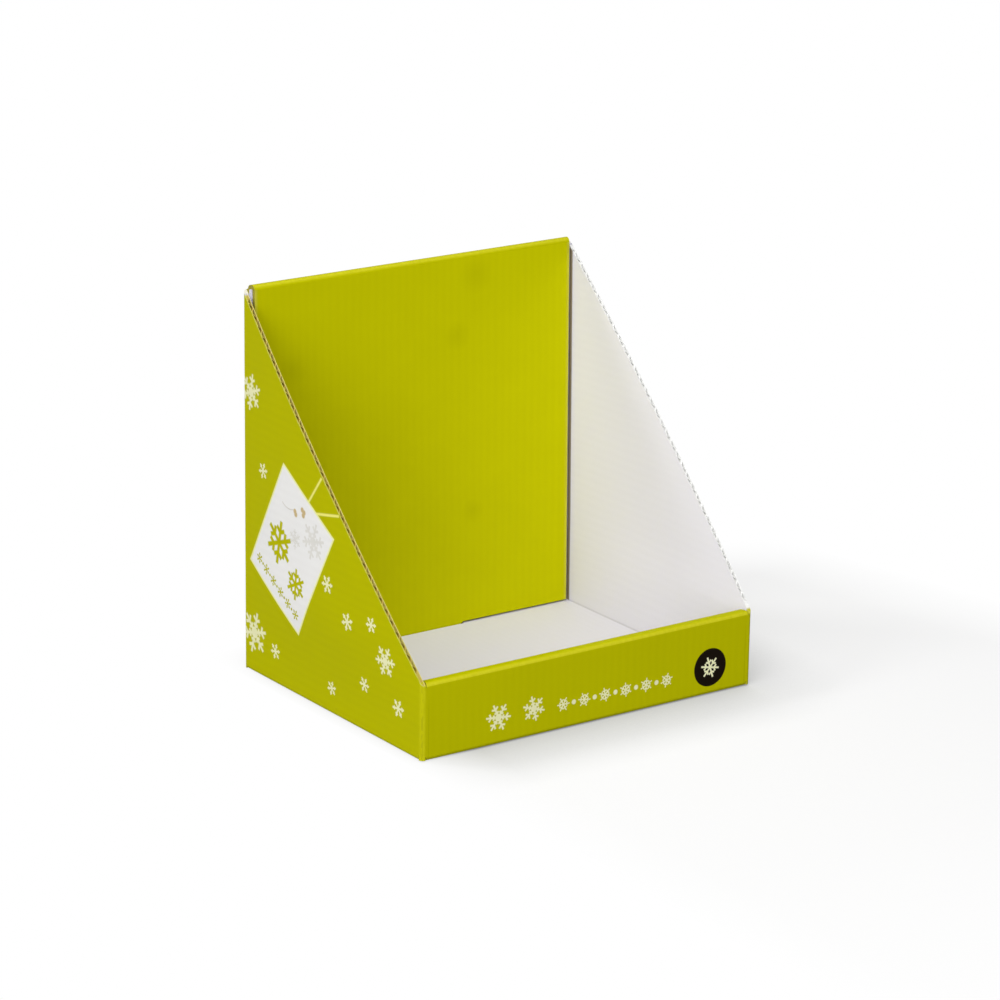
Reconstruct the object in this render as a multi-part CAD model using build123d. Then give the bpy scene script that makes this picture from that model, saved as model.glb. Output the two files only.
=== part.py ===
"""Counter display stand, folded from one die-cut blank of corrugated board.

The front, the side walls and the back run on round four vertical folds, and each of them folds
under at the base, whose flaps are one closed layer here. The front and back panels roll over at
the top and come down again inside the tray, where a tab locks each of them into a slot in the
base. The side walls slope from back to front and bow outwards a little between their folds.
Their sloping edges show the open ends of the flutes.

Frame: the origin is at the middle of the underside, X to the right seen from the front,
Y from front to back, Z up. All lengths are in millimetres.
"""
import os
from math import atan, degrees

from build123d import *

# Outer sizes of the folded stand, at its folds
width = 300.0
depth = 240.5
back_height = 300.0
front_height = 59.5

# Corrugated board: the liner and medium bound the open flute ends along a sloping edge
board = 3.0
liner = 0.4
medium = 0.3
flute_pitch = 6.8
flute_end_depth = 2.0
flute_edge_margin = 3.0
flute_crown_share = 0.16

# Folds, as inner radii, the slits at the corners of the base and how low the vertical folds reach
hinge_radius = 0.5
corner_radius = 0.5
front_roll_radius = 0.2
back_roll_radius = 0.4
hinge_slit = 0.6
fold_foot = 0.8

# Sloping edges of the side walls, as heights above the outer faces of the front and back
slope_front_height = 57.5
slope_back_height = 296.5

# Outward bow of the side walls, which grows in steps from the straight base up to a height
wall_bow = 3.8
bow_top = 84.0
bow_steps = 6

# Doubled front
front_wall = 9.5
front_corner = 4.0
front_inset = 6.0
front_edge_rise = 0.8
front_tab_root = 88.0
front_tab_tip = 76.0

# Doubled back: its inner ply stands further forward at the foot than at the top
back_wall = 7.5
back_foot = 12.7
back_corner = 5.0
back_inset = 6.0
back_edge_rise = 1.5
back_tab_root = 88.0
back_tab_tip = 76.0

# Tabs in the slots of the base
tab_lift = 0.3
slot_clearance = 0.4

# Vertical lines of crushed flutes near both ends of the front panel
crush_inset = 6.0
crush_width = 1.2
crush_depth = 0.3
crush_top = 40.0

# Overrun of every cut, and lap of stretches of board that are joined
overrun = 1.0
lap = 4.0

# Derived sizes and places
half_width = width / 2
front_y = -depth / 2
back_y = depth / 2
hinge_outer = hinge_radius + board
corner_outer = corner_radius + board
front_roll_outer = front_roll_radius + board
back_roll_outer = back_roll_radius + board
front_top = front_height - front_roll_outer
back_top = back_height - back_roll_outer
front_ply_y = front_y + front_wall
back_ply_y = back_y - back_wall
back_foot_y = back_y - back_foot
fold_x = corner_outer - half_width
fold_y = back_y - corner_outer
bow_start = hinge_outer + lap
slope = (slope_back_height - slope_front_height) / depth


def slope_z(y):
    """Height of the sloping edge at a place from front to back."""
    return slope_front_height + slope * (y - front_y)


def slope_y(z):
    """Place from front to back at which the sloping edge has a height."""
    return front_y + (z - slope_front_height) / slope


def ribbon(points, outer_radius):
    """Section of folded board: its printed outline, rounded at the folds, and the board's thickness inside."""
    outline = FilletPolyline(*points, radius=outer_radius)
    return make_face(offset(outline, amount=board, side=Side.LEFT, closed=True).edges())


def drawn_across(section, half_length):
    """A section seen from the side, in Y and Z, drawn out to both sides."""
    return extrude(Plane.YZ * section, amount=half_length, both=True)


def drawn_back(outline, start, end):
    """An outline seen from the front, in X and Z, drawn out between two places from front to back."""
    plane = Plane((0, start, 0), x_dir=(1, 0, 0), z_dir=(0, -1, 0))
    return extrude(plane * outline, amount=end - start, dir=(0, 1, 0))


def drawn_up(outline, low, high):
    """An outline seen from above, in X and Y, drawn out between two heights."""
    return extrude(Pos(0, 0, low) * outline, amount=high - low, dir=(0, 0, 1))


def outline_of(*points):
    """A plane outline through points that keep their places."""
    return Polygon(*points, align=None)


def field(left, right, low, high):
    """A plane rectangle between four limits."""
    return outline_of((left, low), (right, low), (right, high), (left, high))


def both_ends(tool):
    """A cut at one end with its mirror image at the other."""
    return [tool, mirror(tool, Plane.YZ)]


# Front panel, base and back panel
def main_strip():
    """Front panel, base and back panel between the side walls, with slots and lines of crushed flutes."""
    section = ribbon([(front_y, front_top), (front_y, 0), (back_y, 0), (back_y, back_top)], hinge_outer)
    strip = drawn_across(section, half_width - corner_outer - hinge_slit)
    cuts = both_ends(side_hinge_room()) + both_ends(crushed_line())
    cuts.append(tab_slot(front_ply_y - board, front_ply_y, front_tab_root))
    cuts.append(tab_slot(back_foot_y, back_foot_y + board, back_tab_root))
    return strip - cuts


def side_hinge_room():
    """The edge of the base that gives way to the fold of the right side wall."""
    edge = field(half_width - hinge_outer, half_width + overrun, front_y + hinge_outer, back_y - hinge_outer)
    return drawn_up(edge, -overrun, board + overrun)


def tab_slot(near, far, tab_root):
    """Slot in the base for the tab of an inner ply that stands between two places from front to back."""
    half = tab_root / 2 + slot_clearance
    opening = field(-half, half, near - slot_clearance, far + slot_clearance)
    return drawn_up(opening, -overrun, board + overrun)


def crushed_line():
    """Groove of one crushed flute near the right end of the front panel."""
    middle = half_width - crush_inset
    groove = outline_of(
        (middle - crush_width / 2, front_y),
        (middle, front_y - overrun),
        (middle + crush_width / 2, front_y),
        (middle, front_y + crush_depth),
    )
    return drawn_up(groove, hinge_outer, crush_top)


# Rolled tops with their inner plies and tabs
def front_roll():
    """Rolled top of the front, with its inner ply and tab."""
    section = ribbon(
        [
            (front_ply_y, tab_lift),
            (front_ply_y, front_height),
            (front_y, front_height),
            (front_y, front_top - lap),
        ],
        front_roll_outer,
    )
    roll = drawn_across(section, half_width - front_corner)
    roll -= both_ends(roll_taper(front_y, front_ply_y, front_corner, front_inset, front_top, front_height))
    roll -= both_ends(ply_edge(front_y + board, front_ply_y, front_inset, front_top))
    shoulder = board + front_edge_rise
    return roll - both_ends(tab_shoulder(front_y, front_ply_y, front_tab_root, front_tab_tip, shoulder))


def back_roll():
    """Rolled top of the back, with its inner ply and tab."""
    section = ribbon(
        [
            (back_y, back_top - lap),
            (back_y, back_height),
            (back_ply_y, back_height),
            (back_foot_y, tab_lift),
        ],
        back_roll_outer,
    )
    roll = drawn_across(section, half_width - back_corner)
    roll -= both_ends(roll_taper(back_y, back_ply_y, back_corner, back_inset, back_top, back_height))
    roll -= both_ends(ply_edge(back_y - board, back_foot_y, back_inset, back_top))
    shoulder = board + back_edge_rise
    return roll - both_ends(tab_shoulder(back_foot_y, back_y, back_tab_root, back_tab_tip, shoulder))


def roll_taper(outer_y, ply_y, corner, inset, low, high):
    """What slants the right end of a rolled top from the panel's corner to the edge of the inner ply."""
    past_y = ply_y + (ply_y - outer_y)
    before_y = outer_y - (ply_y - outer_y)
    wedge = outline_of(
        (half_width - corner, before_y),
        (half_width - corner, outer_y),
        (half_width - inset, ply_y),
        (half_width - inset, past_y),
        (half_width, past_y),
        (half_width, before_y),
    )
    return drawn_up(wedge, low, high + overrun)


def ply_edge(outer_y, ply_y, inset, top):
    """What narrows an inner ply at its right edge."""
    near, far = sorted((outer_y, ply_y + (ply_y - outer_y)))
    return drawn_up(field(half_width - inset, half_width, near, far), -overrun, top)


def tab_shoulder(near, far, tab_root, tab_tip, shoulder):
    """What is cut off beside the right edge of a tab, up to the lower edge of its ply."""
    beside = outline_of(
        (tab_root / 2, shoulder),
        (tab_tip / 2, tab_lift),
        (tab_tip / 2, -overrun),
        (half_width, -overrun),
        (half_width, shoulder),
    )
    return drawn_back(beside, near - overrun, far + overrun)


# Side walls with their vertical folds
def side_wall():
    """Left side wall with its two vertical folds, its open flute ends and its fold to the base."""
    lap_x = fold_x + lap
    section = ribbon(
        [(lap_x, back_y), (-half_width, back_y), (-half_width, front_y), (lap_x, front_y)],
        corner_outer,
    )
    run = bowed_run_room()
    wall = drawn_up(section, hinge_outer, slope_back_height) - run
    wall += [drawn_up(section & corner, fold_foot, hinge_outer) for corner in corner_squares()]
    wall += bowed_sheet() & run
    wall -= above_slope()
    wall -= above_front_lap()
    wall -= flute_ends()
    return wall + side_hinge()


def corner_squares():
    """The squares that hold the two vertical folds, seen from above."""
    front = field(-half_width, fold_x, front_y, -fold_y)
    return [front, mirror(front, Plane.XZ)]


def above_front_lap():
    """What would stand above the front panel, where the wall laps it under the rolled top."""
    outline = field(fold_x, fold_x + lap + overrun, front_top, slope_back_height)
    return drawn_back(outline, front_y - overrun, front_y + board + overrun)


def bowed_run_room():
    """Room of the wall between its two folds, above its straight foot."""
    outline = field(-half_width - wall_bow - overrun, board - half_width + overrun, -fold_y, fold_y)
    return drawn_up(outline, bow_start, slope_back_height)


def bowed_sheet():
    """The bowed board between the folds, a little longer than that run."""
    rising = loft([Pos(0, 0, height) * bowed_section(bow) for height, bow in bow_levels()])
    return rising + drawn_up(bowed_section(wall_bow), bow_top, slope_back_height)


def bowed_section(bow):
    """The bowed board seen from above, a parabola that meets its straight line at the folds."""
    past_y = fold_y + overrun
    past_bow = bow * (1 - (past_y / fold_y) ** 2)
    faces = []
    for straight_x in (-half_width, board - half_width):
        end_x = straight_x - past_bow
        faces.append(Bezier((end_x, past_y), (straight_x - bow - bow + past_bow, 0), (end_x, -past_y)))
    ends = [Line(faces[0] @ place, faces[1] @ place) for place in (0, 1)]
    return make_face(faces + ends)


def bow_share(height):
    """Share of the full bow that the wall has at a height, which rises and settles gently."""
    rise = min(max((height - bow_start) / (bow_top - bow_start), 0), 1)
    return rise * rise * (3 - rise - rise)


def bow_levels():
    """Heights and bows of the sections between the straight foot of the wall and its full bow."""
    heights = [bow_start + (bow_top - bow_start) * step / bow_steps for step in range(bow_steps + 1)]
    return [(height, wall_bow * bow_share(height)) for height in heights]


def side_hinge():
    """Fold between the base and the left side wall."""
    section = ribbon(
        [(-half_width, hinge_outer + lap), (-half_width, 0), (-half_width + hinge_outer + lap, 0)],
        hinge_outer,
    )
    start = front_y + hinge_outer + hinge_slit
    return drawn_back(section, start, -start)


def above_slope():
    """Everything above the sloping edge."""
    before_y = front_y - overrun
    past_y = back_y + overrun
    top = slope_z(past_y) + overrun
    outline = outline_of((before_y, slope_z(before_y)), (past_y, slope_z(past_y)), (past_y, top), (before_y, top))
    return drawn_across(outline, width)


def flute_ends():
    """Open ends of the flutes along the sloping edge, which lie on either liner in turn."""
    low = slope_z(-fold_y) + flute_edge_margin
    high = slope_z(fold_y) - flute_edge_margin
    outer_liner = liner - half_width
    inner_liner = board - liner - half_width
    holes = []
    for wave in range(int((high - low) / flute_pitch)):
        middle = low + flute_pitch * wave
        holes.append(flute_hole(outer_liner, inner_liner - medium, middle + flute_pitch / 2))
        holes.append(flute_hole(inner_liner, outer_liner + medium, middle + flute_pitch))
    return holes


def flute_hole(foot_x, crown_x, middle):
    """One open flute along the bowed wall, wide at its liner and narrow under the crown of the wave."""
    crown = flute_pitch * flute_crown_share
    foot = flute_pitch - crown - medium - medium
    outline = outline_of(
        (foot_x, middle - foot / 2),
        (foot_x, middle + foot / 2),
        (crown_x, middle + crown / 2),
        (crown_x, middle - crown / 2),
    )
    start = slope_y(middle - foot / 2) - overrun
    end = slope_y(middle + foot / 2) + flute_end_depth
    place_y = slope_y(middle)
    bow = wall_bow * bow_share(middle)
    across = place_y / fold_y
    turn = degrees(atan(2 * bow * across / fold_y))
    hole = drawn_back(outline, start, end).rotate(Axis((-half_width, place_y, 0), (0, 0, 1)), -turn)
    return Pos(-bow * (1 - across * across), 0, 0) * hole


def folded_stand():
    """The whole stand, one piece of folded board."""
    left_wall = side_wall()
    right_wall = mirror(left_wall, Plane.YZ)
    stand = main_strip() + front_roll() + back_roll() + left_wall + right_wall
    return stand.clean()


os.makedirs("parts", exist_ok=True)
export_step(folded_stand(), "parts/folded_stand.step")
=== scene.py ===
"""Looks of a cardboard counter display stand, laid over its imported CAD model.

The stand is one folded sheet of printed corrugated board, so its CAD node stays and each surface of
the board gets its own finish: lime print outside, white liner inside, brown flutes at the cut edges.
All sizes here are millimetres in the CAD model's frame; Blender's own lengths are metres.
"""

import logging
import math
from dataclasses import dataclass
from enum import Enum

import bpy
import numpy as np
from mathutils import Matrix, Vector

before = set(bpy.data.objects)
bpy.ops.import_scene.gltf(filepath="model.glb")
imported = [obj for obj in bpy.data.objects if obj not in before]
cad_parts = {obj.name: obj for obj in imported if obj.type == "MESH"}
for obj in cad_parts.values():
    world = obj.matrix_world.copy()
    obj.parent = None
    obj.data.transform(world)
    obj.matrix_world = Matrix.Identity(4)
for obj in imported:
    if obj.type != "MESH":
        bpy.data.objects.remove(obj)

MM = 0.001
LOG = logging.getLogger("display_stand")
Colour = tuple[float, float, float]
Point = tuple[float, float, float]
Spot = tuple[float, float]

INK_SHARE = 0.92  # How much of the paper's tone a pale motif has
PRINT_SOFT = 0.5  # Over how many millimetres a printed edge fades
SIDE_SOFT = 1.0  # Over how many millimetres one side of the stand gives way to the other
LINE_END = 0.02  # Over what share of its length a line's ends fade
RICH = 3.0  # The detail of noise with finer layers


def linear(red: float, green: float, blue: float) -> Colour:
    """A display colour, given as three values from 0 to 255, in the linear values that shaders use.

    Args:
        red: The red value.
        green: The green value.
        blue: The blue value.

    Returns:
        Three linear values from 0 to 1.
    """
    def one(value: float) -> float:
        """One value: the straight foot of the curve below 0.04045, and the power curve above it."""
        share = value / 255
        return share / 12.92 if share <= 0.04045 else ((share + 0.055) / 1.055) ** 2.4
    return one(red), one(green), one(blue)


# Shader maths
class Value:
    """A number or vector inside a material, on which Python's operators add Math nodes."""

    def __init__(self, finish: "Nodes", socket: bpy.types.NodeSocket) -> None:
        """Keeps the node tree and the output socket.

        Args:
            finish: The nodes that the socket is one of.
            socket: The node's output.
        """
        self.finish = finish
        self.socket = socket

    def maths(self, operation: str, *others: "Number", clamp: bool = False) -> "Value":
        """Adds one Math node with this value as its first input.

        Args:
            operation: Blender's name for the operation.
            others: The further inputs, in their order.
            clamp: Whether the result is kept between 0 and 1.

        Returns:
            The node's result.
        """
        inputs = dict(enumerate((self, *others)))
        return self.finish.node("ShaderNodeMath", {"operation": operation, "use_clamp": clamp}, inputs)

    def __add__(self, other: "Number") -> "Value":
        """This value plus another."""
        return self.maths("ADD", other)

    __radd__ = __add__

    def __sub__(self, other: "Number") -> "Value":
        """This value less another."""
        return self.maths("SUBTRACT", other)

    def __rsub__(self, other: "Number") -> "Value":
        """Another value less this one."""
        return (self * -1) + other

    def __mul__(self, other: "Number") -> "Value":
        """This value times another."""
        return self.maths("MULTIPLY", other)

    __rmul__ = __mul__

    def __truediv__(self, other: "Number") -> "Value":
        """This value divided by another."""
        return self.maths("DIVIDE", other)

    def __abs__(self) -> "Value":
        """The size of this value."""
        return self.maths("ABSOLUTE")

    def below(self, limit: "Number", soft: float) -> "Value":
        """A mask that is 1 under a limit and falls to 0 over a soft width.

        Args:
            limit: The value at which the mask is one half.
            soft: The width of the fall.

        Returns:
            The mask, which is one half plus the distance under the limit over the soft width, clamped.
        """
        return ((self - limit) * (-1 / soft)).maths("ADD", 0.5, clamp=True)

    def above(self, limit: "Number", soft: float) -> "Value":
        """A mask that is 0 under a limit and rises to 1 over a soft width, as below() turned over."""
        return ((self - limit) * (1 / soft)).maths("ADD", 0.5, clamp=True)

    def least(self, other: "Number") -> "Value":
        """The lesser of this value and another."""
        return self.maths("MINIMUM", other)

    def most(self, other: "Number") -> "Value":
        """The greater of this value and another."""
        return self.maths("MAXIMUM", other)


Number = Value | float | int


class Nodes:
    """The node tree of a material or of the sky, built up from values."""

    def __init__(self, tree: bpy.types.NodeTree) -> None:
        """Takes over a node tree and empties it.

        Args:
            tree: The node tree.
        """
        self.tree = tree
        self.tree.nodes.clear()

    def node(self, kind: str, settings: dict | None = None, inputs: dict | None = None,
             output: str | int = 0) -> Value:
        """Adds one node, with its settings made before its sockets are filled.

        Args:
            kind: The node's type.
            settings: The node's properties by name.
            inputs: Values or plain numbers by the name or number of their socket.
            output: The name or number of the output that is wanted.

        Returns:
            That output.
        """
        made = self.tree.nodes.new(kind)
        for name, setting in (settings or {}).items():
            setattr(made, name, setting)
        for name, value in (inputs or {}).items():
            self.fill(made.inputs[name], value)
        return Value(self, made.outputs[output])

    def fill(self, socket: bpy.types.NodeSocket, value: "Number | Colour") -> None:
        """Links a value to a socket, or sets a plain number or colour on it.

        Args:
            socket: The input to fill.
            value: A value of these nodes, a number, or three numbers.
        """
        if isinstance(value, Value):
            self.tree.links.new(value.socket, socket)
        elif isinstance(value, tuple) and socket.type == "RGBA":
            socket.default_value = (*value, 1.0)
        else:
            socket.default_value = value

    def blend(self, share: Number, first: Value, second: Value) -> Value:
        """A shader between two others, by the share of the second one."""
        return self.node("ShaderNodeMixShader", None, {0: share, 1: first, 2: second})

    def end(self, kind: str, shader: Value) -> None:
        """Adds the output node of the tree, by its type, and sends a shader to it."""
        self.fill(self.tree.nodes.new(kind).inputs["Surface"], shader)


class Shader(Nodes):
    """A node material."""

    def __init__(self, name: str) -> None:
        """Starts a material with one Principled node.

        Args:
            name: The material's name.
        """
        self.material = bpy.data.materials.new(name)
        self.material.use_nodes = True
        super().__init__(self.material.node_tree)
        self.surface = self.tree.nodes.new("ShaderNodeBsdfPrincipled")

    def mix(self, share: Number, first: "Value | Colour", second: "Value | Colour") -> Value:
        """A colour between two others.

        Args:
            share: How much of the second colour there is, from 0 to 1.
            first: The colour where the share is 0.
            second: The colour where the share is 1.

        Returns:
            The mixed colour.
        """
        return self.node("ShaderNodeMix", {"data_type": "RGBA"}, {0: share, 6: first, 7: second}, 2)

    def shade(self, colour: "Value | Colour", factor: Number) -> Value:
        """A colour or vector with all its parts multiplied by one value."""
        return self.node("ShaderNodeVectorMath", {"operation": "SCALE"}, {0: colour, "Scale": factor})

    def place(self) -> tuple[Value, Value, Value, Value]:
        """The place on the object in millimetres.

        Returns:
            The place as a vector, then its three parts.
        """
        metres = self.node("ShaderNodeTexCoord", output="Object")
        spot = self.shade(metres, 1 / MM)
        return spot, *self.parts(spot)

    def parts(self, spot: Value) -> list[Value]:
        """The three parts of a vector."""
        return [self.node("ShaderNodeSeparateXYZ", None, {0: spot}, axis) for axis in range(3)]

    def vector(self, operation: str, first: "Value | Point", second: "Value | Point") -> Value:
        """Adds one Vector Math node on two vectors.

        Args:
            operation: Blender's name for the operation.
            first: The first vector.
            second: The second vector.

        Returns:
            The node's result.
        """
        return self.node("ShaderNodeVectorMath", {"operation": operation}, {0: first, 1: second})

    def vector_length(self, spot: Value) -> Value:
        """The length of a vector."""
        return self.node("ShaderNodeVectorMath", {"operation": "LENGTH"}, {0: spot}, "Value")

    def noise(self, spot: Value, size: float, detail: float = 2.0,
              stretch: Point = (1.0, 1.0, 1.0)) -> Value:
        """Smooth noise around 0, of about the given size in millimetres.

        Args:
            spot: The place in millimetres.
            size: The width of one patch.
            detail: How many finer layers there are.
            stretch: How much longer the patches are along each axis.

        Returns:
            Noise from about -0.5 to 0.5.
        """
        scale = tuple(1 / (size * part) for part in stretch)
        placed = self.vector("MULTIPLY", spot, scale)
        sockets = {"Vector": placed, "Scale": 1.0, "Detail": detail}
        return self.node("ShaderNodeTexNoise", None, sockets) - 0.5

    def relief(self, height: Value) -> None:
        """Sends a height in millimetres to the surface's normal."""
        bump = self.node("ShaderNodeBump", None, {"Strength": 1.0, "Distance": MM, "Height": height})
        self.fill(self.surface.inputs["Normal"], bump)

    def coat(self, **sockets: "Value | float | Colour") -> bpy.types.Material:
        """Fills sockets of the Principled node and gives back the finished material.

        Args:
            sockets: Values by the socket's name, with spaces written as underscores.

        Returns:
            The material.
        """
        for name, value in sockets.items():
            self.fill(self.surface.inputs[name.replace("_", " ")], value)
        self.end("ShaderNodeOutputMaterial", Value(self, self.surface.outputs[0]))
        return self.material


class Flutes(Enum):
    """Across which axis the ripple of the flutes is counted."""

    ALONG_WIDTH = 1
    ALONG_HEIGHT = 3


# Motifs of the print
@dataclass(frozen=True)
class Snowflake:
    """A snowflake of the print, in the two coordinates of its panel."""

    across: float
    up: float
    radius: float
    turn: float = 0.0


@dataclass(frozen=True)
class FlakeDesign:
    """How the arms of a snowflake are drawn, as shares of its radius."""

    arm: float
    twigs: tuple[Spot, ...]
    ring: float = 0.0
    soft: float = 0.05
    margin: float = 1.1
    far: float = 9.0

    def ink(self, right: Value, high: Value) -> Value:
        """The ink of one flake: the angle is folded six times about the centre, so that one arm along
        the first axis with its twigs at 60 degrees stands for all twelve half arms.

        Args:
            right: The place within the flake along its first axis, as a share of its radius.
            high: The place along its second axis.

        Returns:
            A mask that is 1 on the ink.
        """
        sixth = math.pi / 3
        folded = abs(high.maths("ARCTAN2", right).maths("WRAP", sixth / 2, -sixth / 2))
        away = (right * right + high * high).maths("SQRT")
        along, side = away * folded.maths("COSINE"), away * folded.maths("SINE")
        ink = side.below(self.arm, self.soft) * along.below(1.0, self.soft)
        for start, length in self.twigs:
            ahead = (along - start) * math.cos(sixth) + side * math.sin(sixth)
            off = abs((along - start) * -math.sin(sixth) + side * math.cos(sixth))
            twig = off.below(self.arm, self.soft) * ahead.below(length, self.soft)
            ink = ink.most(twig * ahead.above(0.0, self.soft))
        if self.ring:
            ink = ink.most(abs(along - self.ring).below(self.arm, self.soft))
        return ink


FINE_FLAKE = FlakeDesign(arm=0.07, twigs=((0.32, 0.2), (0.6, 0.3)), ring=0.17)
SMALL_FLAKE = FlakeDesign(arm=0.11, twigs=((0.62, 0.24),))
BOLD_FLAKE = FlakeDesign(arm=0.1, twigs=((0.48, 0.36),))
TWIG_FLAKE = FlakeDesign(arm=0.085, twigs=((0.45, 0.34),))


class Panel:
    """A printed panel, on which flakes, dots and lines are laid by two coordinates in millimetres."""

    def __init__(self, finish: Shader, across: Value, up: Value) -> None:
        """Keeps the material and the panel's two coordinates.

        Args:
            finish: The material.
            across: The place across the panel.
            up: The place up the panel.
        """
        self.finish = finish
        self.across = across
        self.up = up

    def flakes(self, flakes: tuple[Snowflake, ...], design: FlakeDesign) -> Value:
        """The ink of several flakes of one design that don't overlap. The place within the nearest
        flake is the sum over all of them of the offset from the centre over the radius, each turned its
        own way and counted only inside its own circle, and far out where there is none.

        Args:
            flakes: The flakes.
            design: How they are drawn.

        Returns:
            A mask that is 1 on the ink.
        """
        spot = self.finish.node("ShaderNodeCombineXYZ", None, {0: self.across, 1: self.up})
        total: Value | None = None
        inside: Value | None = None
        for flake in flakes:
            centre = (flake.across, flake.up, 0.0)
            offset = self.finish.vector("SUBTRACT", spot, centre)
            near = self.finish.vector_length(offset).maths("LESS_THAN", flake.radius * design.margin)
            turned = self.finish.node(
                "ShaderNodeVectorRotate", {"rotation_type": "Z_AXIS"}, {0: offset, "Angle": flake.turn})
            share = self.finish.shade(turned, near / flake.radius)
            total = share if total is None else self.finish.vector("ADD", total, share)
            inside = near if inside is None else inside + near
        right, high, _ = self.finish.parts(total)
        return design.ink(right + (1 - inside) * design.far, high)

    def away(self, across: float, up: float) -> Value:
        """The distance from a point of the panel."""
        right, high = self.across - across, self.up - up
        return (right * right + high * high).maths("SQRT")

    def dots(self, spots: tuple[Spot, ...], radius: float, soft: float = PRINT_SOFT) -> Value:
        """A mask of round dots of one radius.

        Args:
            spots: The dots' middles, across and up the panel.
            radius: Their radius.
            soft: The width over which their edges fade.

        Returns:
            A mask that is 1 on the dots.
        """
        ink: Value | None = None
        for across, up in spots:
            dot = self.away(across, up).below(radius, soft)
            ink = dot if ink is None else ink.most(dot)
        return ink

    def line(self, start: Spot, end: Spot, width: float, sag: float = 0.0) -> Value:
        """A mask of a line between two points that hangs a little to one side: the distance from the
        straight line, less the sag times a parabola along it, is under half the width.

        Args:
            start: The first end, across and up the panel.
            end: The second end.
            width: The line's width.
            sag: How far its middle lies to the left of the straight way.

        Returns:
            A mask that is 1 on the line.
        """
        length = math.dist(start, end)
        way = ((end[0] - start[0]) / length, (end[1] - start[1]) / length)
        right, high = self.across - start[0], self.up - start[1]
        along = (right * way[0] + high * way[1]) / length
        off = high * way[0] - right * way[1] - along * (1 - along) * (4 * sag)
        ends = along.above(0.0, LINE_END) * along.below(1.0, LINE_END)
        return abs(off).below(width / 2, width / 2) * ends


# The board and its surfaces
class Surface(Enum):
    """What a face of the folded board shows."""

    FRONT = "print_front"
    LEFT = "print_left_wall"
    WALL = "print_right_wall"
    STRIP = "print_strip"
    INNER_BACK = "print_inner_back"
    LINER_STRIP = "white_liner_strip"
    LINER_WALL = "white_liner_walls"
    EDGE_WALL = "cut_edge_walls"
    EDGE_STRIP = "cut_edge_strip"


@dataclass(frozen=True)
class Bow:
    """How far the side walls bow outwards: a parabola between the vertical folds, which rises gently
    from the straight foot of the wall to its full size and then keeps it."""

    most: float = 3.8
    half_length: float = 116.75
    foot: float = 7.5
    top: float = 84.0

    def reach(self, back: np.ndarray, up: np.ndarray) -> np.ndarray:
        """The bow at places on a wall.

        Args:
            back: How far back the places lie.
            up: How high they lie.

        Returns:
            How far the printed face lies outside the flat stretch there.
        """
        rise = np.clip((up - self.foot) / (self.top - self.foot), 0, 1)
        across = np.minimum(np.abs(back) / self.half_length, 1)
        return self.most * rise * rise * (3 - 2 * rise) * (1 - across * across)

    def drawn(self, back: Value, up: Value) -> Value:
        """The bow inside a material, by the formula of reach().

        Args:
            back: The place from front to back.
            up: The height.

        Returns:
            How far the printed face lies outside the flat stretch there.
        """
        rise = ((up - self.foot) / (self.top - self.foot)).most(0.0).least(1.0)
        across = (abs(back) / self.half_length).least(1.0)
        return rise * rise * (3 - rise * 2) * (1 - across * across) * self.most


@dataclass(frozen=True)
class Flat:
    """A flat stretch of board, known by a point on its printed face and the way that face looks."""

    point: Point
    facing: Point
    low: Point
    high: Point
    printed: Surface
    liner: Surface

    def depth(self, centres: np.ndarray) -> np.ndarray:
        """How far points lie under the printed face, against the way that it looks."""
        return -(centres - np.array(self.point)) @ self.outward()

    def outward(self) -> np.ndarray:
        """The way that the printed face looks, of length 1."""
        way = np.array(self.facing, float)
        return way / np.linalg.norm(way)

    def holds(self, centres: np.ndarray, margin: float) -> np.ndarray:
        """Which points lie between the stretch's two corners, widened by a margin."""
        low, high = np.array(self.low) - margin, np.array(self.high) + margin
        return ((centres >= low) & (centres <= high)).all(axis=1)

    def facing_share(self, centres: np.ndarray, normals: np.ndarray) -> np.ndarray:
        """The cosine between normals and the way that the printed face looks."""
        return normals @ self.outward()


@dataclass(frozen=True)
class Bowed(Flat):
    """A side wall, whose printed face bows outwards from the flat stretch."""

    bow: Bow = Bow()

    def depth(self, centres: np.ndarray) -> np.ndarray:
        """How far points lie under the bowed face: the depth under the flat one plus the bow there."""
        return super().depth(centres) + self.bow.reach(centres[:, 1], centres[:, 2])


@dataclass(frozen=True)
class Fold(Flat):
    """A quarter round of board. Its point is on the axis, its facing points into the quarter and its
    radius is that of the printed face."""

    radius: float = 3.5

    def from_axis(self, centres: np.ndarray) -> np.ndarray:
        """The part of each point's distance from the axis that lies across it."""
        across = np.array(self.facing, float) != 0
        return (centres - np.array(self.point)) * across

    def depth(self, centres: np.ndarray) -> np.ndarray:
        """How far points lie under the printed face: its radius less their distance from the axis."""
        return self.radius - np.linalg.norm(self.from_axis(centres), axis=1)

    def holds(self, centres: np.ndarray, margin: float) -> np.ndarray:
        """Which points lie in the quarter, and between the two corners along the axis."""
        inside = super().holds(centres, margin)
        return inside & (self.from_axis(centres) * np.array(self.facing) >= -margin).all(axis=1)

    def facing_share(self, centres: np.ndarray, normals: np.ndarray) -> np.ndarray:
        """The cosine between normals and the way out from the axis.

        Args:
            centres: The faces' middles.
            normals: The faces' normals.

        Returns:
            The cosine for each face.
        """
        away = self.from_axis(centres)
        length = np.maximum(np.linalg.norm(away, axis=1), 1e-6)
        return (normals * away).sum(axis=1) / length


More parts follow.
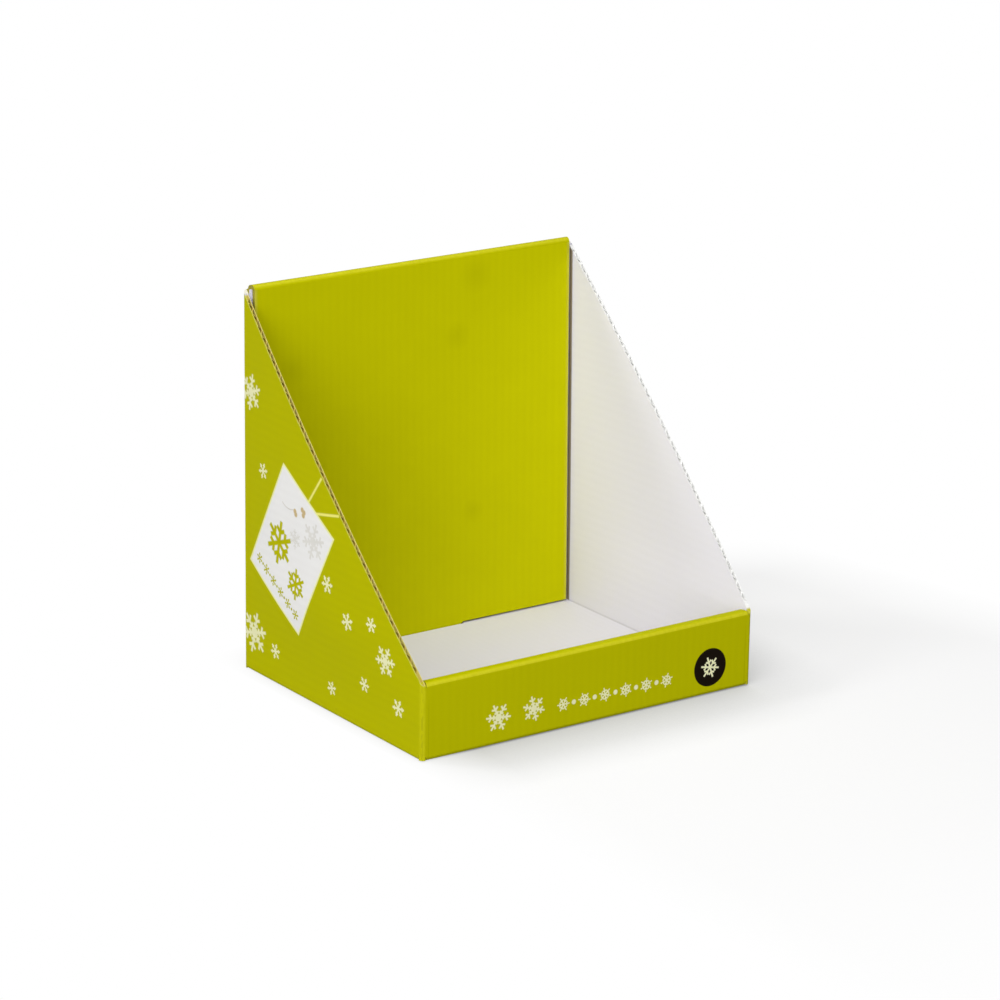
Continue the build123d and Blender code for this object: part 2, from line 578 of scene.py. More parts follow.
@dataclass(frozen=True)
class Board:
    """The folded sheet: its sizes, its stretches and folds, and which face shows what."""

    half_width: float = 150.0
    half_depth: float = 120.25
    back_height: float = 300.0
    front_height: float = 59.5
    slope_front: float = 57.5
    slope_back: float = 296.5
    board: float = 3.0
    liner: float = 0.4
    fold: float = 3.5
    front_roll: float = 3.2
    back_roll: float = 3.4
    front_wall: float = 9.5
    back_wall: float = 7.5
    back_foot: float = 12.7
    tab_lift: float = 0.3
    ply_slack: float = 1.0
    bow: Bow = Bow()
    margin: float = 0.4
    depth_error: float = 0.3
    facing_least: float = 0.6

    def slope(self) -> float:
        """How much the sloping edges rise over one millimetre from front to back."""
        return (self.slope_back - self.slope_front) / (2 * self.half_depth)

    def back_lean(self) -> float:
        """How much further back the inner back's ply stands with each millimetre of height."""
        return (self.back_foot - self.back_wall) / (self.back_height - self.tab_lift)

    def below_slope(self, back: Value, up: Value) -> Value:
        """The distance from the sloping edge, square to it, at a place on a wall."""
        level = (back + self.half_depth) * self.slope() + self.slope_front
        return (level - up) * (1 / math.hypot(1, self.slope()))

    def from_corner(self, right: Value, back: Value) -> Value:
        """The distance from the nearest vertical corner, along either of the faces that meet there."""
        aside = (self.half_width - abs(right)).most(0.0)
        return aside + (self.half_depth - abs(back)).most(0.0)

    def stretches(self) -> list[Flat]:
        """All flat and rounded stretches of the board, first the strip, then both walls.

        Returns:
            The stretches, in the order in which a face is looked up.
        """
        return [*self.strip(), *self.wall(-1.0, Surface.LEFT), *self.wall(1.0, Surface.WALL)]

    def strip(self) -> list[Flat]:
        """The front, base and back with their rolled tops and inner plies.

        Returns:
            The strip's stretches.
        """
        wide, deep, fold, sheet = self.half_width, self.half_depth, self.fold, self.board
        look = (Surface.STRIP, Surface.LINER_STRIP)
        whole = ((fold - wide, -deep, 0.0), (wide - fold, deep, self.back_height))
        front_top, back_top = self.front_height - self.front_roll, self.back_height - self.back_roll
        front_ply, back_ply = self.front_wall - deep, deep - self.back_wall
        back_foot = deep - self.back_foot - self.ply_slack
        return [
            Flat((0, -deep, 0), (0, -1, 0), (-wide, -deep, fold), (wide, -deep + sheet, front_top),
                 Surface.FRONT, Surface.LINER_STRIP),
            Fold((0, -deep + fold, fold), (0, -1, -1), *whole, *look, fold),
            Flat((0, 0, 0), (0, 0, -1), (fold - wide, fold - deep, 0),
                 (wide - fold, deep - fold, sheet), *look),
            Fold((0, deep - fold, fold), (0, 1, -1), *whole, *look, fold),
            Flat((0, deep, 0), (0, 1, 0), (-wide, deep - sheet, fold), (wide, deep, back_top), *look),
            Fold((0, -deep + self.front_roll, front_top), (0, -1, 1), *whole, *look, self.front_roll),
            Flat((0, 0, self.front_height), (0, 0, 1), (-wide, -deep, front_top),
                 (wide, front_ply, self.front_height), *look),
            Fold((0, front_ply - self.front_roll, front_top), (0, 1, 1), *whole, *look,
                 self.front_roll),
            Flat((0, front_ply, 0), (0, 1, 0), (-wide, front_ply - sheet, 0),
                 (wide, front_ply, front_top), *look),
            Fold((0, deep - self.back_roll, back_top), (0, 1, 1), *whole, *look, self.back_roll),
            Fold((0, back_ply + self.back_roll, back_top), (0, -1, 1), *whole, *look, self.back_roll),
            Flat((0, 0, self.back_height), (0, 0, 1), (-wide, back_ply, back_top),
                 (wide, deep, self.back_height), *look),
            Flat((0, back_ply, self.back_height), (0, -1, self.back_lean()), (-wide, back_foot, 0),
                 (wide, back_ply + sheet, back_top), Surface.INNER_BACK, Surface.LINER_STRIP),
        ]

    def wall(self, side: float, printed: Surface) -> list[Flat]:
        """One side wall with its folds.

        Args:
            side: -1 for the left wall and 1 for the right one.
            printed: What its outer face shows.

        Returns:
            Its stretches.
        """
        wide, deep, fold = self.half_width, self.half_depth, self.fold
        look = (printed, Surface.LINER_WALL)
        face = side * wide
        near, far = sorted((face + side * self.bow.most, face - side * self.board))
        inner, outer = sorted((face, face - side * fold))
        across = ((inner, -deep, 0.0), (outer, deep, self.back_height))
        return [
            Bowed((face, 0, 0), (side, 0, 0), (near, fold - deep, fold),
                  (far, deep - fold, self.back_height), *look, self.bow),
            Fold((face - side * fold, -deep + fold, 0), (side, -1, 0), *across, *look, fold),
            Fold((face - side * fold, deep - fold, 0), (side, 1, 0), *across, *look, fold),
            Fold((face - side * fold, 0, fold), (side, 0, -1), *across, *look, fold),
        ]

    def surfaces(self, centres: np.ndarray, normals: np.ndarray) -> np.ndarray:
        """What each face shows: print where it lies on a stretch's printed face and looks its way,
        liner where it lies one board further in and looks the other way, and a cut edge elsewhere.

        Args:
            centres: The faces' middles in millimetres.
            normals: The faces' normals.

        Returns:
            The number of each face's surface, in the order of Surface.
        """
        order = {surface: number for number, surface in enumerate(Surface)}
        on_wall = np.abs(centres[:, 0]) > self.half_width - self.fold
        found = np.where(on_wall, order[Surface.EDGE_WALL], order[Surface.EDGE_STRIP])
        open_faces = np.ones(len(centres), bool)
        for stretch in self.stretches():
            depth, share = stretch.depth(centres), stretch.facing_share(centres, normals)
            here = open_faces & stretch.holds(centres, self.margin)
            on_print = np.abs(depth) < self.depth_error
            on_liner = np.abs(depth - self.board) < self.depth_error
            printed = here & on_print & (share > self.facing_least)
            liner = here & on_liner & (share < -self.facing_least)
            found[printed], found[liner] = order[stretch.printed], order[stretch.liner]
            open_faces &= ~(printed | liner)
        return found


BOARD = Board()


# Finishes
@dataclass(frozen=True)
class Ripple:
    """The washboard that the flutes leave on a liner."""

    pitch: float = 6.9
    height: float = 0.02
    tone: float = 0.012
    drift_size: float = 30.0
    drift: float = 2.5
    fading_size: float = 22.0
    fading: float = 1.6
    fading_mean: float = 0.8

    def wave(self, finish: Shader, spot: Value, place: Value) -> Value:
        """A wave around 0: the sine of the place over one pitch of the flutes, with its lines
        drifting a little and fading in patches.

        Args:
            finish: The material.
            spot: The place in millimetres.
            place: The part of it that lies across the flutes.

        Returns:
            The wave, mostly between -1 and 1.
        """
        drift = finish.noise(spot, self.drift_size) * self.drift
        fading = finish.noise(spot, self.fading_size) * self.fading + self.fading_mean
        return (place * (2 * math.pi / self.pitch) + drift).maths("SINE") * fading


@dataclass(frozen=True)
class Print:
    """Lime print with a satin varnish."""

    lime: Colour = linear(191, 190, 0)
    paper: Colour = linear(250, 249, 204)
    cream: Colour = linear(250, 245, 130)
    rubbed: Colour = linear(222, 216, 50)
    black: Colour = linear(24, 17, 10)
    ripple: Ripple = Ripple()
    roughness: float = 0.5
    shine: float = 0.02
    cloud_size: float = 38.0
    cloud_tone: float = 0.06
    cloud_gloss: float = 0.15
    grain_size: float = 0.9
    grain_tone: float = 0.05
    grain_height: float = 0.015
    rub_size: float = 2.2
    rub_stretch: Point = (1.0, 1.0, 3.0)
    fold_wear: float = 0.32
    fold_reach: float = 4.5
    fold_rub: float = 2.2
    ridge_from: float = 2.05
    ridge_reach: float = 0.12
    ridge_break: float = 0.1
    ridge_depth: float = 0.16
    rim_wear: float = 0.35
    rim_reach: float = 0.9
    rim_rub: float = 3.0
    lip_wear: float = 0.5
    lip_rub: float = 1.2
    rear_wear: float = 0.5
    rear_reach: float = 1.0
    roll_reach: float = 1.6
    # Painted shade of the groove of the front's crushed line.
    crease_at: float = 144.0
    crease_shade_reach: float = 0.7
    crease_shade_depth: float = 0.14
    crease_top: float = 44.0
    crease_fade: float = 12.0

    def build(self, surface: Surface, flutes: Flutes) -> bpy.types.Material:
        """The material of one printed surface.

        Args:
            surface: The surface, which says what motifs there are.
            flutes: The way that the ripple is counted.

        Returns:
            The material.
        """
        finish = Shader(surface.value)
        spot, x, y, z = finish.place()
        wave = self.ripple.wave(finish, spot, x if flutes is Flutes.ALONG_WIDTH else z)
        cloud = finish.noise(spot, self.cloud_size, RICH)
        grain = finish.noise(spot, self.grain_size)
        tone = 1 + wave * self.ripple.tone + cloud * self.cloud_tone + grain * self.grain_tone
        colour = self.motifs(finish, surface, self.worn(finish, surface, spot, x, y, z), x, y, z)
        colour = finish.shade(colour, tone)
        if surface is Surface.INNER_BACK:
            colour = BACK_MARKS.lay(finish, colour, x, z)
        finish.relief(wave * self.ripple.height + grain * self.grain_height)
        rough = cloud * self.cloud_gloss + self.roughness
        return finish.coat(Base_Color=colour, Roughness=rough, Specular_IOR_Level=self.shine)

    def worn(self, finish: Shader, surface: Surface, spot: Value, x: Value, y: Value,
             z: Value) -> Value:
        """The lime, rubbed yellow along the vertical folds and the rolled tops and paler along the cut
        sloping edges, with a thin broken dark line on the ridge of each vertical fold and painted shade
        along the crushed line beside the front's corners. The inner lip's upper edge is rubbed down to
        the paper.

        Args:
            finish: The material.
            surface: The surface, which says what wear there is.
            spot: The place in millimetres.
            x: The place from left to right.
            y: The place from front to back.
            z: The height.

        Returns:
            The worn colour.
        """
        rub = finish.noise(spot, self.rub_size, RICH, self.rub_stretch)
        corner = BOARD.from_corner(x, y)
        wear = corner.below(self.fold_reach / 2, self.fold_reach)
        wear = wear * (rub * self.fold_rub + 1).most(0.0) * self.fold_wear
        if surface is Surface.STRIP:
            lip = (y + BOARD.half_depth).below(self.roll_reach, self.roll_reach)
            lip = lip * z.above(BOARD.front_height - BOARD.front_roll, self.roll_reach)
            roll = z.above(BOARD.back_height - self.roll_reach, self.roll_reach)
            wear = wear.most(lip.most(roll) * (rub * self.lip_rub + 1).most(0.0) * self.lip_wear)
        colour = finish.mix(wear, self.lime, self.rubbed)
        if surface is Surface.STRIP:
            top = BOARD.front_height - self.rear_reach
            rear = (y + BOARD.half_depth).above(BOARD.front_wall - self.rear_reach, self.rear_reach)
            rear = rear * y.below(0.0, SIDE_SOFT) * z.above(top, self.rear_reach)
            colour = finish.mix(rear * self.rear_wear, colour, self.paper)
        if surface in (Surface.LEFT, Surface.WALL):
            rim = BOARD.below_slope(y, z).below(self.rim_reach / 2, self.rim_reach)
            rim = rim * (rub * self.rim_rub + 1).most(0.0) * self.rim_wear
            colour = finish.mix(rim, colour, self.paper)
        ridge = corner.below(self.ridge_from + self.ridge_reach, self.ridge_reach)
        dark = ridge * rub.above(0.0, self.ridge_break) * self.ridge_depth
        # Painted shade in the groove of the crushed line beside each front corner.
        if surface is Surface.FRONT:
            crease_shade = abs(abs(x) - self.crease_at).below(self.crease_shade_reach / 2, self.crease_shade_reach)
            crease_shade = crease_shade * z.below(self.crease_top, self.crease_fade)
            dark = dark.most(crease_shade * self.crease_shade_depth)
        return finish.shade(colour, 1 - dark)

    def motifs(self, finish: Shader, surface: Surface, colour: Value, x: Value, y: Value,
               z: Value) -> Value:
        """Lays the motifs of a surface over its ground colour.

        Args:
            finish: The material.
            surface: The surface, which says what motifs there are.
            colour: The ground colour.
            x: The place from left to right.
            y: The place from front to back.
            z: The height.

        Returns:
            The printed colour.
        """
        if surface is Surface.LEFT:
            return WALL_MOTIFS.lay(finish, colour, self, y, z)
        if surface is Surface.FRONT:
            return FRONT_MOTIFS.lay(finish, colour, self, x, z)
        return colour


@dataclass(frozen=True)
class GiftTag:
    """A gift tag printed on the left wall, with its strings, which are counted on the wall."""

    across: float = 49.7
    up: float = 114.2
    half_width: float = 39.8
    half_height: float = 50.6
    turn: float = math.radians(29.8)
    border: float = 1.5
    line: Colour = linear(250, 250, 176)
    white: Colour = linear(250, 249, 247)
    faint: Colour = linear(234, 232, 226)
    knot: Colour = linear(198, 166, 84)
    cord: Colour = linear(205, 198, 186)
    big: tuple[Snowflake, ...] = (Snowflake(-14.5, -7.0, 17.5, 0.2),)
    middle: tuple[Snowflake, ...] = (Snowflake(19.0, -18.0, 12.5, 0.1),)
    row: tuple[Snowflake, ...] = tuple(
        Snowflake(-30.0 + 12.0 * place, -39.5, 4.3, 0.1 * place) for place in range(6))
    row_dots: tuple[Spot, ...] = tuple((-24.0 + 12.0 * place, -39.5) for place in range(5))
    row_dot: float = 1.1
    pale: tuple[Snowflake, ...] = (Snowflake(20.6, 28.8, 15.0, 0.3), Snowflake(1.0, 12.0, 8.0, 0.0))
    knots: tuple[Spot, ...] = ((-9.6, 30.7), (-7.6, 29.5), (-2.5, 39.1), (0.3, 39.1), (0.6, 36.5))
    knot_radius: float = 2.1
    knot_soft: float = 0.9
    knot_share: float = 0.8
    tail: tuple[Spot, Spot] = ((-27.0, 24.0), (-11.9, 30.3))
    tail_width: float = 0.9
    tail_sag: float = -2.0
    tail_share: float = 0.6
    strings: tuple[tuple[Spot, Spot], ...] = (
        ((26.5, 154.5), (6.0, 180.6)), ((20.0, 150.3), (-17.0, 157.8)))
    string_width: float = 1.9

    def local(self, finish: Shader, across: Value, up: Value) -> Panel:
        """The tag's own panel: to the reader's right, which is towards the front, and up, both
        turned with the tag about its middle.

        Args:
            finish: The material.
            across: The place on the wall from front to back.
            up: The height on the wall.

        Returns:
            The tag's panel.
        """
        right, high = (across - self.across) * -1, up - self.up
        cosine, sine = math.cos(self.turn), math.sin(self.turn)
        return Panel(finish, right * cosine - high * sine, right * sine + high * cosine)

    def lay(self, finish: Shader, ground: Value, look: Print, across: Value, up: Value) -> Value:
        """Lays the strings and the tag over the wall's ground colour.

        Args:
            finish: The material.
            ground: The colour under the tag.
            look: The colours of the print.
            across: The place on the wall from front to back.
            up: The height on the wall.

        Returns:
            The colour with the tag.
        """
        wall, tag = Panel(finish, across, up), self.local(finish, across, up)
        colour = ground
        for start, end in self.strings:
            colour = finish.mix(wall.line(start, end, self.string_width), colour, look.cream)
        inside = (abs(tag.across) - self.half_width).most(abs(tag.up) - self.half_height)
        face = finish.mix(tag.flakes(self.pale, FINE_FLAKE), self.white, self.faint)
        ink = tag.flakes(self.big, BOLD_FLAKE).most(tag.flakes(self.middle, BOLD_FLAKE))
        ink = ink.most(tag.flakes(self.row, SMALL_FLAKE)).most(tag.dots(self.row_dots, self.row_dot))
        face = finish.mix(ink, face, look.lime)
        tail = tag.line(*self.tail, self.tail_width, self.tail_sag)
        knots = tag.dots(self.knots, self.knot_radius, self.knot_soft)
        face = finish.mix(tail * self.tail_share, face, self.cord)
        face = finish.mix(knots * self.knot_share, face, self.knot)
        colour = finish.mix(inside.below(self.border / 2, PRINT_SOFT), colour, self.line)
        return finish.mix(inside.below(-self.border / 2, PRINT_SOFT), colour, face)


@dataclass(frozen=True)
class WallMotifs:
    """Snowflakes and the gift tag of the left wall, counted from front to back and upwards."""

    large: tuple[Snowflake, ...] = (
        Snowflake(104.7, 32.8, 17.0, 0.25),
        Snowflake(-75.5, 63.7, 12.0, 0.1),
        Snowflake(107.8, 220.9, 14.5, 0.35),
    )
    small: tuple[Snowflake, ...] = (
        Snowflake(75.0, 26.5, 6.4, 0.2),
        Snowflake(-1.6, 101.6, 7.1, 0.1),
        Snowflake(-28.0, 80.3, 7.1, 0.3),
        Snowflake(-58.4, 86.7, 6.2, 0.15),
        Snowflake(-47.5, 37.4, 6.0, 0.0),
        Snowflake(-2.7, 20.8, 5.7, 0.25),
        Snowflake(-90.6, 32.2, 7.1, 0.1),
        Snowflake(89.7, 164.4, 6.4, 0.2),
    )
    tag: GiftTag = GiftTag()

    def lay(self, finish: Shader, ground: Value, look: Print, back: Value, up: Value) -> Value:
        """Lays the wall's print over the ground colour.

        Args:
            finish: The material.
            ground: The ground colour.
            look: The colours of the print.
            back: The place from front to back.
            up: The height.

        Returns:
            The printed colour.
        """
        wall = Panel(finish, back, up)
        ink = wall.flakes(self.large, FINE_FLAKE).most(wall.flakes(self.small, SMALL_FLAKE))
        printed = finish.mix(ink * INK_SHARE, ground, look.paper)
        return self.tag.lay(finish, printed, look, back, up)


@dataclass(frozen=True)
class FrontMotifs:
    """Snowflakes, dots and the black disc of the front, counted from left to right and upwards."""

    disc: Spot = (110.9, 21.7)
    disc_radius: float = 15.0
    disc_flake: tuple[Snowflake, ...] = (Snowflake(110.9, 21.7, 8.5, 0.2),)
    large: tuple[Snowflake, ...] = (
        Snowflake(-83.0, 21.0, 11.0, 0.1), Snowflake(-51.5, 21.5, 10.0, 0.3))
    small: tuple[Snowflake, ...] = tuple(
        Snowflake(-25.0 + 19.0 * place, 19.5, 5.6, 0.15 * place) for place in range(6))
    spots: tuple[Spot, ...] = tuple((-15.5 + 19.0 * place, 19.5) for place in range(5))
    spot_radius: float = 1.9

    def lay(self, finish: Shader, ground: Value, look: Print, right: Value, up: Value) -> Value:
        """Lays the front's print over the ground colour.

        Args:
            finish: The material.
            ground: The ground colour.
            look: The colours of the print.
            right: The place from left to right.
            up: The height.

        Returns:
            The printed colour.
        """
        front = Panel(finish, right, up)
        ink = front.flakes(self.large, FINE_FLAKE).most(front.flakes(self.small, TWIG_FLAKE))
        ink = ink.most(front.dots(self.spots, self.spot_radius))
        printed = finish.mix(ink * INK_SHARE, ground, look.paper)
        disc = front.away(*self.disc).below(self.disc_radius, PRINT_SOFT)
        face = finish.mix(front.flakes(self.disc_flake, TWIG_FLAKE), look.black, look.paper)
        return finish.mix(disc, printed, face)


@dataclass(frozen=True)
class BackMarks:
    """Smudges, rubbed edges and painted light of the inner back, counted from left to right and upwards.
    """

    smudges: tuple[tuple[float, float, float], ...] = (
        (55.5, 282.5, 9.0), (-112.3, 230.1, 8.0), (52.7, 94.0, 6.0), (38.0, 236.0, 7.0))
    smudge_depth: float = 0.08
    smudge_soft: float = 1.6
    # Painted light: tone brightens the whole inner back, and the tilt brightens it towards the right.
    tone: float = 1.03
    painted_light_tilt: float = 0.0005
    edge: float = 144.0
    edge_reach: float = 3.0
    edge_share: float = 0.35
    rubbed: Colour = linear(214, 200, 110)

    def lay(self, finish: Shader, ground: Value, right: Value, up: Value) -> Value:
        """Paints light: the print is a little brighter overall and brighter to the right, painted light
        and shade in place of the left wall's shade. Darkens the smudges, which are given by their place
        and radius, and rubs the side edges paler and browner.

        Args:
            finish: The material.
            ground: The colour of the print.
            right: The place from left to right.
            up: The height.

        Returns:
            The marked colour.
        """
        back = Panel(finish, right, up)
        # Painted light and shade: brighter overall and brighter towards the right.
        colour = finish.shade(ground, right * self.painted_light_tilt + self.tone)
        for across, height, radius in self.smudges:
            mark = back.away(across, height).below(radius, radius * self.smudge_soft)
            colour = finish.shade(colour, 1 - mark * self.smudge_depth)
        rub = abs(right).above(self.edge - self.edge_reach / 2, self.edge_reach)
        return finish.mix(rub * self.edge_share, colour, self.rubbed)


WALL_MOTIFS = WallMotifs()
FRONT_MOTIFS = FrontMotifs()
BACK_MARKS = BackMarks()


@dataclass(frozen=True)
class Liner:
    """The bare white inner liner."""

    white: Colour = linear(236, 234, 246)
    ripple: Ripple = Ripple(height=0.02, tone=0.005)
    roughness: float = 0.7
    shine: float = 0.15
    cloud_size: float = 60.0
    cloud_tone: float = 0.02
    fibre_size: float = 1.5
    fibre_tone: float = 0.03
    fibre_height: float = 0.03
    # Painted shade along the liner's folds at the base, where the inner corners lie in shade.
    crease_shade_reach: float = 1.6
    crease_shade_depth: float = 0.22
    # Painted shade: the dark of the gap beside the inner back's ply, laid on the walls in a cut edge's
    # brown.
    painted_gap_shade: Colour = linear(128, 108, 40)
    painted_gap_shade_reach: float = 3.5
    painted_gap_shade_soft: float = 0.4
    painted_gap_shade_share: float = 0.85

    def build(self, surface: Surface, flutes: Flutes) -> bpy.types.Material:
        """The material of a white surface, with painted shade along the folds at the base. The walls
        carry painted shade in brown where they stand beside the inner back's ply, in the gap there.

        Args:
            surface: The surface, which says whether it is a wall's.
            flutes: The way that the ripple is counted.

        Returns:
            The material.
        """
        finish = Shader(surface.value)
        spot, x, y, z = finish.place()
        wave = self.ripple.wave(finish, spot, x if flutes is Flutes.ALONG_WIDTH else z)
        cloud = finish.noise(spot, self.cloud_size, RICH)
        fibre = finish.noise(spot, self.fibre_size, RICH)
        inside = BOARD.half_width - BOARD.board
        to_fold = z - BOARD.board if surface is Surface.LINER_WALL else inside - abs(x)
        # Painted shade: the liner is greyer close to its folds at the base.
        crease_shade = to_fold.below(self.crease_shade_reach / 2, self.crease_shade_reach) * self.crease_shade_depth
        tone = 1 + wave * self.ripple.tone + cloud * self.cloud_tone + fibre * self.fibre_tone
        finish.relief(wave * self.ripple.height + fibre * self.fibre_height)
        colour = finish.shade(self.white, tone * (1 - crease_shade))
        if surface is Surface.LINER_WALL:
            # Painted shade on the wall in the gap just behind the ply's front face.
            before = BOARD.half_depth - BOARD.back_foot + z * BOARD.back_lean() - y
            painted_gap_shade = before.below(0.0, self.painted_gap_shade_soft)
            painted_gap_shade = painted_gap_shade * before.above(-self.painted_gap_shade_reach, self.painted_gap_shade_soft)
            colour = finish.mix(painted_gap_shade * self.painted_gap_shade_share, colour, self.painted_gap_shade)
        return finish.coat(Base_Color=colour, Roughness=self.roughness, Specular_IOR_Level=self.shine)


@dataclass(frozen=True)
class CutEdge:
    """The cut edges: flutes between the two liners, brown on the left and pale on the right."""

    flute: Colour = linear(190, 168, 84)
    # Painted shade deeper in the open flutes.
    painted_shade_pit: Colour = linear(156, 130, 50)
    rim: Colour = linear(204, 198, 66)
    lining: Colour = linear(220, 208, 118)
    pale: Colour = linear(251, 251, 249)
    strip: Colour = linear(158, 150, 60)
    painted_shade_pit_reach: float = 0.5
    liner_share: float = 1.6
    end: float = -117.5
    top: float = 293.0
    top_share: float = 0.7
    end_soft: float = 2.0
    fibre_size: float = 1.2
    fibre_tone: float = 0.3
    fibre_height: float = 0.1
    roughness: float = 0.85
    shine: float = 0.1
    soft: float = 0.25

    def build(self, surface: Surface) -> bpy.types.Material:
        """The material of a cut edge. On a wall the depth under the bowed printed face tells the outer
        liner, the flutes and the inner liner apart, and with depth under the sloping edge the open flutes
        get painted shade. The right wall's sloping edge is pale but for its end at the front.

        Args:
            surface: The surface, which says whether the edge is a wall's.

        Returns:
            The material.
        """
        finish = Shader(surface.value)
        spot, x, y, z = finish.place()
        fibre = finish.noise(spot, self.fibre_size, RICH)
        colour: Value | Colour = self.strip
        if surface is Surface.EDGE_WALL:
            # Painted shade: the open flutes darken with depth under the sloping edge.
            under = BOARD.below_slope(y, z).above(self.painted_shade_pit_reach, self.painted_shade_pit_reach)
            colour = finish.mix(under, self.flute, self.painted_shade_pit)
            depth = BOARD.bow.drawn(y, z) + BOARD.half_width - abs(x)
            liner = BOARD.liner * self.liner_share
            right = x.above(0.0, SIDE_SOFT)
            top = z.above(self.top, self.end_soft) * self.top_share
            colour = finish.mix(depth.below(liner, self.soft), colour, self.rim)
            colour = finish.mix(depth.above(BOARD.board - liner, self.soft), colour, self.lining)
            colour = finish.mix(right * y.above(self.end, self.end_soft), colour, self.pale)
            colour = finish.mix(right * y.below(self.end, self.end_soft), colour, self.rim)
            colour = finish.mix(top, colour, self.pale)
        colour = finish.shade(colour, 1 + fibre * self.fibre_tone)
        finish.relief(fibre * self.fibre_height)
        return finish.coat(Base_Color=colour, Roughness=self.roughness, Specular_IOR_Level=self.shine)


@dataclass(frozen=True)
class FoldedStand:
    """The whole stand: one folded sheet, dressed surface by surface."""

    node: str = "folded_stand"
    slot: str = "printed_board"
    board: Board = BOARD

    def dress(self, piece: bpy.types.Object) -> None:
        """Gives each face of the sheet the material of its surface.

        Args:
            piece: The CAD node's object.
        """
        mesh = piece.data
        count = len(mesh.polygons)
        centres, normals = np.zeros(count * 3), np.zeros(count * 3)
        mesh.polygons.foreach_get("center", centres)
        mesh.polygons.foreach_get("normal", normals)
        found = self.board.surfaces(centres.reshape(-1, 3) / MM, normals.reshape(-1, 3))
        mesh.materials.clear()
        for surface in Surface:
            mesh.materials.append(self.finish(surface))
        mesh.polygons.foreach_set("material_index", found.astype(np.int32))
        mesh.update()
        LOG.info("%s: %s", piece.name, {s.name: int((found == n).sum()) for n, s in enumerate(Surface)})

    @staticmethod
    def finish(surface: Surface) -> bpy.types.Material:
        """The material of one surface.

        Args:
            surface: The surface.

        Returns:
            The material.
        """
        if surface in (Surface.EDGE_WALL, Surface.EDGE_STRIP):
            return CutEdge().build(surface)
        wall = surface in (Surface.LEFT, Surface.WALL, Surface.LINER_WALL)
        flutes = Flutes.ALONG_HEIGHT if wall else Flutes.ALONG_WIDTH
        if surface in (Surface.LINER_STRIP, Surface.LINER_WALL):
            return Liner().build(surface, flutes)
        return Print().build(surface, flutes)


# Studio
@dataclass(frozen=True)
class Lamp:
    """A soft square lamp, by the way it lies from the stand."""

    name: str
    azimuth: float
    height: float
    distance: float
    size: float
    power: float

    def hang(self, target: Vector) -> None:
        """Makes the lamp, turned to the target: it stands at the distance along the way given by the
        azimuth, counted from +X towards +Y, and the height over the floor, both in degrees.

        Args:
            target: The point that the lamp looks at, in metres.
        """
        data = bpy.data.lights.new(self.name, "AREA")
        data.shape, data.size, data.energy = "SQUARE", self.size, self.power
        lamp = bpy.data.objects.new(self.name, data)
        around, up = math.radians(self.azimuth), math.radians(self.height)
        way = Vector((math.cos(around) * math.cos(up), math.sin(around) * math.cos(up), math.sin(up)))
        lamp.location = target + way * self.distance
        lamp.rotation_euler = way.to_track_quat("Z", "Y").to_euler()
        bpy.context.scene.collection.objects.link(lamp)


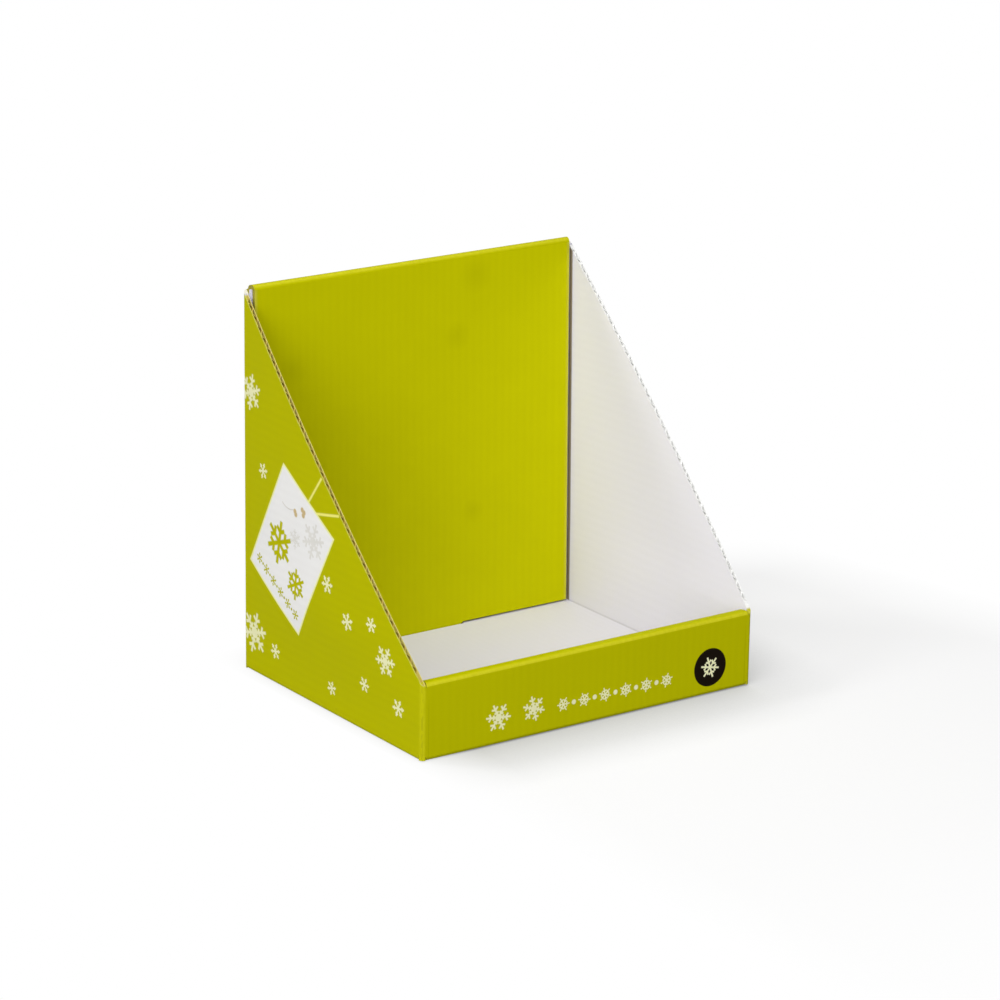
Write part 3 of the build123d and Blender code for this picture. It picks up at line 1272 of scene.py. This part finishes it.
@dataclass(frozen=True)
class Studio:
    """Pale floor, even sky, lamps and camera."""

    floor_half: float = 14.0
    floor_drop: float = 0.0003
    floor_bounce: float = 0.35
    floor_white: float = 1.0
    shadow_share: float = 0.36
    shadow_edges: tuple[tuple[float, float, float, float], ...] = (
        (0.979, 0.203, 375.0, 90.0),
        (0.0, 1.0, 125.0, 80.0),
        (-1.0, 0.0, 130.0, 60.0),
        (0.0, -1.0, 600.0, 400.0),
    )
    contact_reach: float = 0.085
    contact_depth: float = 0.7
    contact_rays: int = 8
    sky: float = 0.02
    lamps: tuple[Lamp, ...] = (
        Lamp("key_back_left", 135.0, 43.0, 6.0, 1.2, 88.0),
        Lamp("low_left", -150.0, 15.0, 6.0, 4.0, 198.0),
        Lamp("front_left", -125.0, 35.0, 6.0, 4.0, 85.0),
        Lamp("front_high", -90.0, 60.0, 6.0, 4.0, 76.0),
        Lamp("front_right", -45.0, 40.0, 6.0, 4.0, 58.0),
        Lamp("near_left", -130.0, 60.0, 1.3, 0.6, 4.0),
    )
    azimuth: float = -35.4557
    elevation: float = 17.3128
    roll: float = 0.8596
    distance: float = 2.95464
    lens: float = 142.11
    sensor: float = 36.0
    far: float = 100.0
    target: Point = (0.000899, -0.00025, 0.139863)

    def floor(self) -> None:
        """Lays the floor: one square, white to the camera and with the stand's shadow."""
        half, drop = self.floor_half, self.floor_drop
        corners = [(-half, -half, -drop), (half, -half, -drop), (half, half, -drop), (-half, half, -drop)]
        mesh = bpy.data.meshes.new("floor")
        mesh.from_pydata(corners, [], [(0, 1, 2, 3)])
        floor = bpy.data.objects.new("floor", mesh)
        bpy.context.scene.collection.objects.link(floor)
        floor.data.materials.append(self.floor_finish())

    def floor_finish(self) -> bpy.types.Material:
        """A plain pale floor for light that bounces, and a white one for what the camera sees. Its
        share of lit white, which takes the shadow, ends softly at straight lines around the stand's
        shadow, each given by its normal, its distance and its softness, and the rest has its own
        light. Close to the stand the lit white is darker by the ambient occlusion.

        Returns:
            The floor's material.
        """
        finish = Shader("floor_white")
        _, x, y, _ = finish.place()
        inside: Value | float = 1.0
        for across, along, distance, soft in self.shadow_edges:
            inside = (x * across + y * along).below(distance, soft) * inside
        rays, reach = {"samples": self.contact_rays}, {"Distance": self.contact_reach}
        near = finish.node("ShaderNodeAmbientOcclusion", rays, reach, "AO")
        seen = finish.node("ShaderNodeLightPath", output="Is Camera Ray")
        for ray in ("Is Glossy Ray", "Is Transmission Ray"):
            seen = seen.most(finish.node("ShaderNodeLightPath", output=ray))
        lit, dark, plain = (
            finish.node("ShaderNodeBsdfDiffuse", None, {"Color": (tone,) * 3})
            for tone in (self.floor_white, 0.0, self.floor_bounce))
        glow = finish.node("ShaderNodeEmission", None, {"Strength": 1.0})
        shown = finish.blend(inside * self.shadow_share, glow, lit)
        shown = finish.blend((1 - near) * inside * self.contact_depth, shown, dark)
        finish.end("ShaderNodeOutputMaterial", finish.blend(seen, plain, shown))
        return finish.material

    def backdrop(self) -> None:
        """Makes the sky: even light, and plain white where the camera looks straight at it."""
        world = bpy.data.worlds.new("sky")
        bpy.context.scene.world = world
        world.use_nodes = True
        sky = Nodes(world.node_tree)
        white = (1.0, 1.0, 1.0)
        seen = sky.node("ShaderNodeLightPath", output="Is Camera Ray")
        even = sky.node("ShaderNodeBackground", None, {"Color": white, "Strength": self.sky})
        plain = sky.node("ShaderNodeBackground", None, {"Color": white})
        sky.end("ShaderNodeOutputWorld", sky.blend(seen, even, plain))

    def camera(self) -> None:
        """Sets up the camera: it looks at the target from the distance, turned by azimuth and
        elevation about it and by the roll about its own line of sight."""
        around, up = math.radians(self.azimuth), math.radians(self.elevation)
        back = Vector((math.sin(around) * math.cos(up), -math.cos(around) * math.cos(up), math.sin(up)))
        level = (-back).cross(Vector((0.0, 0.0, 1.0))).normalized()
        upright = level.cross(-back)
        cosine, sine = math.cos(math.radians(self.roll)), math.sin(math.radians(self.roll))
        right, high = level * cosine + upright * sine, upright * cosine - level * sine
        data = bpy.data.cameras.new("camera")
        data.sensor_width, data.lens, data.clip_end = self.sensor, self.lens, self.far
        camera = bpy.data.objects.new("camera", data)
        bpy.context.scene.collection.objects.link(camera)
        place = Matrix.Translation(Vector(self.target) + back * self.distance)
        camera.matrix_world = place @ Matrix((right, high, back)).transposed().to_4x4()
        bpy.context.scene.camera = camera

    def build(self) -> None:
        """Sets up the whole studio."""
        self.camera()
        self.floor()
        self.backdrop()
        for lamp in self.lamps:
            lamp.hang(Vector(self.target))
        bpy.context.scene.view_settings.view_transform = "Standard"


def main() -> None:
    """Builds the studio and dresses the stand."""
    logging.basicConfig(level=logging.INFO, format="%(name)s: %(message)s")
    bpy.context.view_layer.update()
    Studio().build()
    stand = FoldedStand()
    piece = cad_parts[stand.node]
    stand.dress(piece)


if __name__ == "__main__":
    main()
